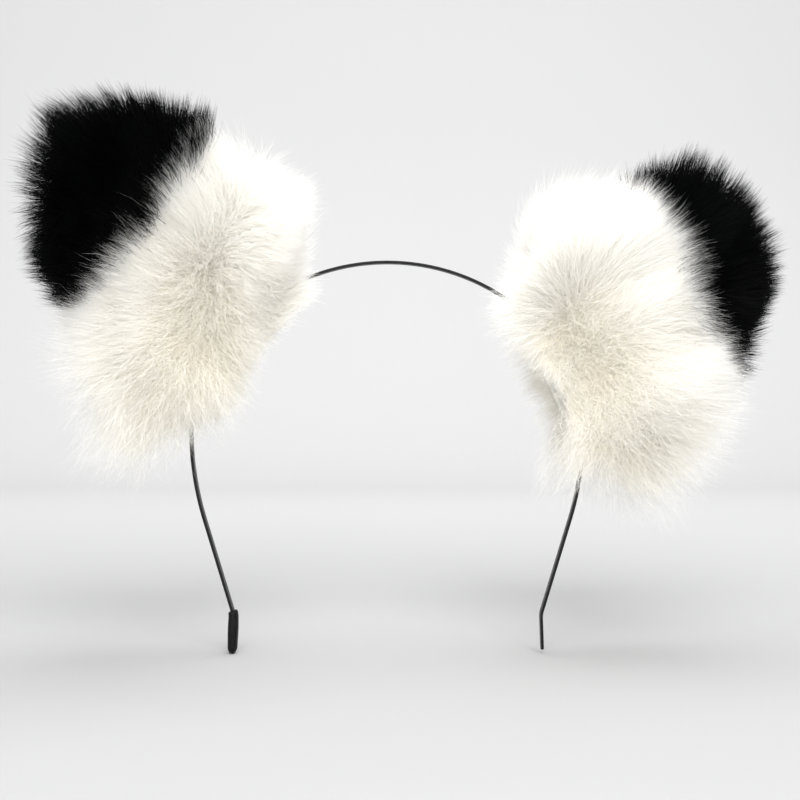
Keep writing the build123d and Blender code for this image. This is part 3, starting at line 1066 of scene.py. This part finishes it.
    def grow(self, roots: Array, normals: Array, lengths: Array, coat: Coat, stray: Array) -> Array:
        """Lines that strands follow.

        Each joint goes on in the direction (1 - lean) normal + lean comb + droop down + wander, where
        the lean and the droop grow towards the tip. Strands stand up beside the seam and hang more
        low down. The wander has a steady part and a part that turns along the strand, which curls it.

        Args:
            roots: (n, 3) places on the skin.
            normals: (n, 3) outward normals there.
            lengths: (n,) strand lengths.
            coat: the coat's leans and droop.
            stray: (n, 3, 3) wander: a steady part, then the two parts that turn along the strand.

        Returns:
            (n, segments + 1, 3) joints.
        """
        comb, groom = self.comb(roots), self.groom
        low = 1.0 - smooth(*groom.hanging, roots[:, 2:3])
        seam = np.clip(1.0 - np.abs(self.past_seam(roots)) / groom.seam_band, 0.0, 1.0)[:, None]
        line = [roots - normals * groom.root_depth]
        for number in range(coat.segments):
            q = (number + 0.5) / coat.segments
            lean = coat.lean_root + (coat.lean_tip - coat.lean_root) * q
            lean = lean * (1 - groom.seam_upright * seam)
            way = (1 - lean) * normals + lean * comb + (coat.droop + groom.hang * low) * q * self.down
            turn = 2 * math.pi * (coat.curl_turns * q)
            wave = stray[:, 0] + stray[:, 1] * math.cos(turn) + stray[:, 2] * math.sin(turn)
            way = unit(way + wave * (groom.wander_root + groom.wander_growth * q))
            line.append(line[-1] + way * (lengths / coat.segments)[:, None])
        return np.stack(line, axis=1)

    def trimmed(self, line: Array) -> Array:
        """Strands drawn in towards their roots so that no tip is further out than the pile's room."""
        root, reach = self.world(line[:, 0]), (line[:, -1] - line[:, 0]) @ self.axes
        low, high = (np.array(corner) for corner in CAD_BOX)
        room = np.where(reach > 0, high + PILE_ROOM - root, root - low + PILE_ROOM)
        share = np.min(room / np.maximum(np.abs(reach), 1e-9), axis=1).clip(self.groom.least_kept, 1.0)
        return line[:, :1] + (line - line[:, :1]) * share[:, None, None]

    def lengths(self, roots: Array, normals: Array, coat: Coat) -> Array:
        """Mean strand lengths.

        They go from the coat's length to its rim length where strands stand out from the ear, are
        shorter beside the seam and along the hem, except at its outer end, and follow the ear's trim.

        Args:
            roots: (n, 3) places on the skin.
            normals: (n, 3) outward normals there.
            coat: the coat's lengths.

        Returns:
            (n,) lengths.
        """
        rim = np.sum(unit(self.comb(roots)) * normals, axis=1).clip(0.0, 1.0) ** 2
        base = coat.length + (coat.rim_length - coat.length) * rim
        past, groom, trim = self.past_seam(roots), self.groom, self.trim
        seam = np.clip(1.0 + past / groom.seam_band, 0.0, 1.0) * (past < 0)
        across = (roots[:, 0] - self.shape.lean * roots[:, 2]) * self.side
        outer, inner = smooth(*groom.sideways, across), smooth(*groom.sideways, -across)
        low, high = 1.0 - smooth(*groom.low, roots[:, 2]), smooth(*groom.high, roots[:, 2])
        growth = low * (trim.low_outer * outer + trim.low_inner * inner)
        growth += high * (trim.top + trim.high_outer * outer + trim.high_inner * inner)
        hem = (1.0 - smooth(*groom.hem, roots[:, 2])) * (1.0 - smooth(*groom.hem_end, across))
        return base * (1 - groom.seam_shorter * seam) * (1 - groom.hem_shorter * hem) * (1 + growth)

    def strands(self, zone: Zone, coat: Coat) -> tuple[Array, Array, Array]:
        """Grows one coat: tufts, then locks drawn to their tufts, then strands drawn to their locks.

        Args:
            zone: the panel.
            coat: how it grows.

        Returns:
            Strand joints (n, segments + 1, 3), ribbon facings (n, 3) and shares of cream tint
            and painted shade (n,).
        """
        rng, groom = np.random.default_rng(coat.seed + (0 if self.side < 0 else 1000)), self.groom
        q = np.linspace(0.0, 1.0, coat.segments + 1)
        leaders, led = None, None
        for count, pull, power in (
            (coat.tufts, 0.0, 1.0),
            (coat.locks, coat.tuft_pull, 1.3),
            (coat.strands, coat.lock_pull, 1.6),
        ):
            roots, normals = self.sow(zone, count, rng)
            muss = self.muss(roots, normals)
            lengths = self.lengths(roots, normals, coat) * (1 - groom.mussed_shorter * muss)
            lengths *= 1 + coat.spread * rng.standard_normal(count).clip(*groom.length_range)
            chance = rng.standard_normal((count, 3, 3))
            flow = ripple(roots, self.side) * (groom.flow + groom.mussed_flow * muss[:, None])
            loose = (coat.wander + groom.mussed_loose * muss)[:, None]
            curl = (coat.curl + groom.mussed_curl * muss)[:, None]
            parts = [flow + chance[:, 0] * loose, chance[:, 1] * curl, chance[:, 2] * curl]
            line = self.grow(roots, normals, lengths, coat, np.stack(parts, axis=1))
            if leaders is not None:
                leader = nearest(roots, leaders)
                strength = pull * (0.55 + 0.45 * rng.random(len(leaders)))[leader]
                share = (strength[:, None] * q**power)[..., None]
                line = line * (1 - share) + led[leader] * share
            leaders, led = roots, line
        facing = unit(normals + groom.facing_spread * rng.standard_normal(normals.shape))
        chance = rng.random(len(roots))
        muss = self.muss(roots, normals)
        # Cream blend per strand: a random tint plus painted shade where the pile is mussed at the parting.
        tint_and_shade_share = np.clip(0.3 * chance**1.5 + groom.mussed_painted_shade * muss, 0.0, 0.97)
        return self.trimmed(line), facing, tint_and_shade_share

    def coat_object(self, name: str, zone: Zone, coat: Coat, material: Material, slot: str) -> Object:
        """One coat as ribbons that taper to their tips.

        At each joint but the last a ribbon has two points, either side of its line along the cross
        product of the line's direction and its facing. Its half width is w (1 - q)^taper.

        Args:
            name: the piece's name.
            zone: the panel it covers.
            coat: how it grows.
            material: the pile's material.
            slot: the record's slot.

        Returns:
            The coat.
        """
        line, facing, tint_and_shade_share = self.strands(zone, coat)
        count, joints = line.shape[:2]
        along = np.gradient(line, axis=1)
        side = unit(np.cross(along, facing[:, None, :]))
        q = np.linspace(0.0, 1.0, joints)
        half = coat.half_width * (1.0 - q[:-1]) ** self.groom.taper
        offset = side[:, :-1] * half[None, :, None]
        pairs = np.stack([line[:, :-1] - offset, line[:, :-1] + offset], axis=2).reshape(count, -1, 3)
        points = np.concatenate([pairs, line[:, -1:]], axis=1)
        per = points.shape[1]
        quads = 2 * np.arange(joints - 2)[:, None] + np.array([0, 1, 3, 2])
        pattern = np.append(quads.ravel(), np.arange(per - 3, per))
        corners = (np.arange(count)[:, None] * per + pattern[None]).ravel()
        counts = np.tile(np.array([4] * (joints - 2) + [3], np.int32), count)
        made = solid_mesh(name, self.world(points.reshape(-1, 3)), corners, counts)
        map_width = 0.03
        u = np.stack([tint_and_shade_share, tint_and_shade_share + map_width], axis=1)
        u = np.concatenate([np.tile(u, (1, joints - 1)), tint_and_shade_share[:, None] + map_width / 2], axis=1)
        v = np.broadcast_to(np.append(np.repeat(q[:-1], 2), 1.0), (count, per))
        flat = np.stack([u.ravel()[corners], v.ravel()[corners]], axis=-1).astype(np.float32)
        made.data.uv_layers.new(name=PILE_MAP).data.foreach_set("uv", flat.ravel())
        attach(made, self.body)
        dress(made, material, slot)
        return made

    def pile(self, white: Material, black: Material) -> None:
        """Every coat of every panel; the first coat of a panel stands for its node."""
        for zone, coats in self.coats.items():
            material, slot = (black, "black_fur") if zone is Zone.TIP else (white, "white_fur")
            for number, coat in enumerate(coats):
                kind = ("pile", "underfur", "fluff")[number]
                made = self.coat_object(f"{self.name}_ear_{zone.value}_{kind}", zone, coat, material, slot)
                if number == 0:
                    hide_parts(f"{self.name}_ear_{zone.value}_fur")


def ripple(points: Array, seed: int) -> Array:
    """A slow random flow: the sum of six plane waves, from 12 to 45 mm long, in each direction."""
    rng = np.random.default_rng(77 + seed)
    total = np.zeros_like(points)
    for _ in range(6):
        wave = rng.standard_normal(3)
        wave *= 2 * math.pi / (rng.uniform(12.0, 45.0) * MM) / np.linalg.norm(wave)
        total += np.sin(points @ wave + rng.uniform(0, 2 * math.pi))[:, None] * unit(rng.standard_normal(3))
    return total


def nearest(points: Array, leaders: Array) -> Array:
    """The number of the leader nearest to each point, from |p|^2 - 2 p.l + |l|^2 in blocks of points."""
    squares = np.sum(leaders**2, axis=1)
    found = [
        np.argmin(squares[None] - 2 * block @ leaders.T, axis=1)
        for block in np.array_split(points, max(1, len(points) // 4000))
    ]
    return np.concatenate(found)


def face_centres(made: Object) -> Array:
    """The centres of a piece's faces as an (n, 3) array."""
    centres = np.zeros(len(made.data.polygons) * 3, np.float32)
    made.data.polygons.foreach_get("center", centres)
    return centres.reshape(-1, 3).astype(float)


# Studio -----------------------------------------------------------------------------------------------


@dataclass
class Studio:
    """A pale paper sweep, soft lights and the camera."""

    floor: float
    # The first tone, on the floor, is painted shade, darker than the wall's.
    paper: PaperFinish = PaperFinish("pale_paper", (0.42, 0.42, 0.42, 1.0), (0.67, 0.668, 0.667, 1.0))
    camera_distance: float = 0.48
    camera_x: float = 4.8 * MM
    camera_z: float = -51.4 * MM
    view_width: float = 0.302
    sensor: float = 36.0

    def sweep(self) -> None:
        """Floor, a quarter-circle cove and a wall, as one strip of paper."""
        radius, back, front, half, top = 0.5, 0.9, -2.4, 3.0, 2.4
        turn = np.linspace(0.0, math.pi / 2, 24)
        y = np.concatenate([[front, -0.5, 0.0, 0.5], back + radius * np.sin(turn), [back + radius]])
        z = np.concatenate([[0.0] * 4, radius * (1 - np.cos(turn)), [top]]) + self.floor
        grid = np.stack(np.broadcast_arrays(np.linspace(-half, half, 12), y[:, None], z[:, None]), axis=-1)
        made = grid_object("paper_sweep", [grid], solid=False)
        made.data.materials.append(self.paper.material())

    def light(self, name: str, place: tuple[float, float, float], size: float, power: float) -> None:
        """One square soft light aimed at the ears."""
        lamp = bpy.data.lights.new(name, "AREA")
        lamp.shape, lamp.size, lamp.energy = "SQUARE", size, power
        made = bpy.data.objects.new(name, lamp)
        bpy.context.scene.collection.objects.link(made)
        made.location = place
        aim = Vector((0.0, 0.0, -0.04)) - Vector(place)
        made.rotation_euler = aim.to_track_quat("-Z", "Y").to_euler()

    def camera(self) -> None:
        """A level camera straight in front."""
        lens = bpy.data.cameras.new("camera")
        lens.sensor_width = self.sensor
        lens.lens = self.sensor * self.camera_distance / self.view_width
        lens.clip_start, lens.clip_end = 0.01, 20.0
        made = bpy.data.objects.new("camera", lens)
        bpy.context.scene.collection.objects.link(made)
        made.location = (self.camera_x, -self.camera_distance, self.camera_z)
        made.rotation_euler = (math.pi / 2, 0.0, 0.0)
        bpy.context.scene.camera = made

    def build(self) -> None:
        """Sweep, lights, sky and camera."""
        self.sweep()
        self.light("key", (0.15, -1.1, 0.75), 0.9, 22.0)
        self.light("fill", (-0.3, -1.3, -0.05), 1.0, 9.0)
        self.light("top", (0.1, 0.05, 1.1), 0.8, 7.0)
        world = bpy.data.worlds.new("soft_room")
        world.use_nodes = True
        shade = world.node_tree.nodes["Background"]
        shade.inputs["Color"].default_value = (0.985, 0.99, 1.0, 1.0)
        shade.inputs["Strength"].default_value = 0.8
        bpy.context.scene.world = world
        bpy.context.scene.view_settings.view_transform = "Standard"
        self.camera()


# Build ------------------------------------------------------------------------------------------------


def coats(seed: int) -> dict[Zone, list[Coat]]:
    """The coats of one ear's three panels, each panel's long pile first, then underfur, then fluff."""
    pile = Coat(seed)
    under = replace(
        pile, seed=seed + 1, strands=16000, segments=3, length=16 * MM, rim_length=14 * MM, lock_pull=0.35,
        wander=0.2,
    )
    fluff = replace(
        pile, seed=seed + 2, length=26 * MM, half_width=0.07 * MM, locks=6000, lock_pull=0.35, spread=0.25,
        wander=0.14,
    )
    back = replace(
        pile, seed=seed + 3, strands=24000, length=21 * MM, lean_root=0.55, lean_tip=0.95, droop=0.22
    )
    back_under = replace(under, seed=seed + 4, strands=10000, length=13 * MM)
    black = replace(
        pile, seed=seed + 5, length=23 * MM, spread=0.14, lean_root=0.4, lean_tip=0.7, droop=0.03,
        half_width=0.13 * MM, tufts=90, locks=1500, lock_pull=0.7,
    )
    black_under = replace(
        black, seed=seed + 6, strands=12000, segments=3, length=20 * MM, rim_length=19 * MM, lock_pull=0.35,
        wander=0.16,
    )
    return {Zone.FRONT: [pile, under, fluff], Zone.BACK: [back, back_under], Zone.TIP: [black, black_under]}


def dress_wire() -> None:
    """Steel on the wire frames and felt on the stiffeners, which stay as they were packed."""
    steel, felt = STEEL_WIRE.material(), STIFF_FELT.material()
    for name in ("left", "right"):
        for node, material in ((f"{name}_ear_wire_frame", steel), (f"{name}_ear_stiffener", felt)):
            made = frame["nodes"][node]
            for place in made.material_slots:
                place.material = material
            LOG.info("%s: kept", node)


def main() -> None:
    """Builds the headband, the ears and the studio."""
    logging.basicConfig(level=logging.INFO, format="%(name)s %(message)s")
    Studio(floor=CAD_BOX[0][2]).build()
    band = Headband()
    band.build()
    dress_wire()
    felt, thread = BLACK_FELT.material(), BLACK_THREAD.material()
    white, black = WHITE_PILE.material(), BLACK_PILE.material()
    white_backing, lining = WHITE_BACKING.material(), WHITE_FELT.material()
    # Its darker second colour is painted shade between the knit rows.
    black_backing = BackingFinish("black_backing", grey(0.008), grey(0.004)).material()
    ears = (
        Ear(
            name="left", along=-67.5 * MM, tilt=23.0, parting=((-22 * MM, 5 * MM), (4 * MM, 15 * MM)),
            softness=20 * MM, mussed=20 * MM, seam=46 * MM, seam_slope=0.1, coats=coats(11),
            trim=Trim(top=0.46, high_inner=-0.45, high_outer=-0.35, low_inner=-0.1, low_outer=1.1),
        ),
        Ear(
            name="right", along=84.0 * MM, tilt=-3.0, parting=((-2 * MM, 8 * MM), (26 * MM, 6 * MM)),
            softness=15 * MM, mussed=15 * MM, seam=47 * MM, seam_slope=0.0, coats=coats(211),
            trim=Trim(top=0.02, high_inner=0.22, high_outer=-0.1, low_inner=0.35, low_outer=0.75),
        ),
    )
    for ear in ears:
        sleeve = Sleeve(ear.name, ear.along, band.route)
        sleeve.wrap(felt)
        sleeve.bindings(thread)
        ear.skin(white_backing, black_backing)
        ear.lining(lining)
        ear.pile(white, black)


if __name__ == "__main__":
    main()
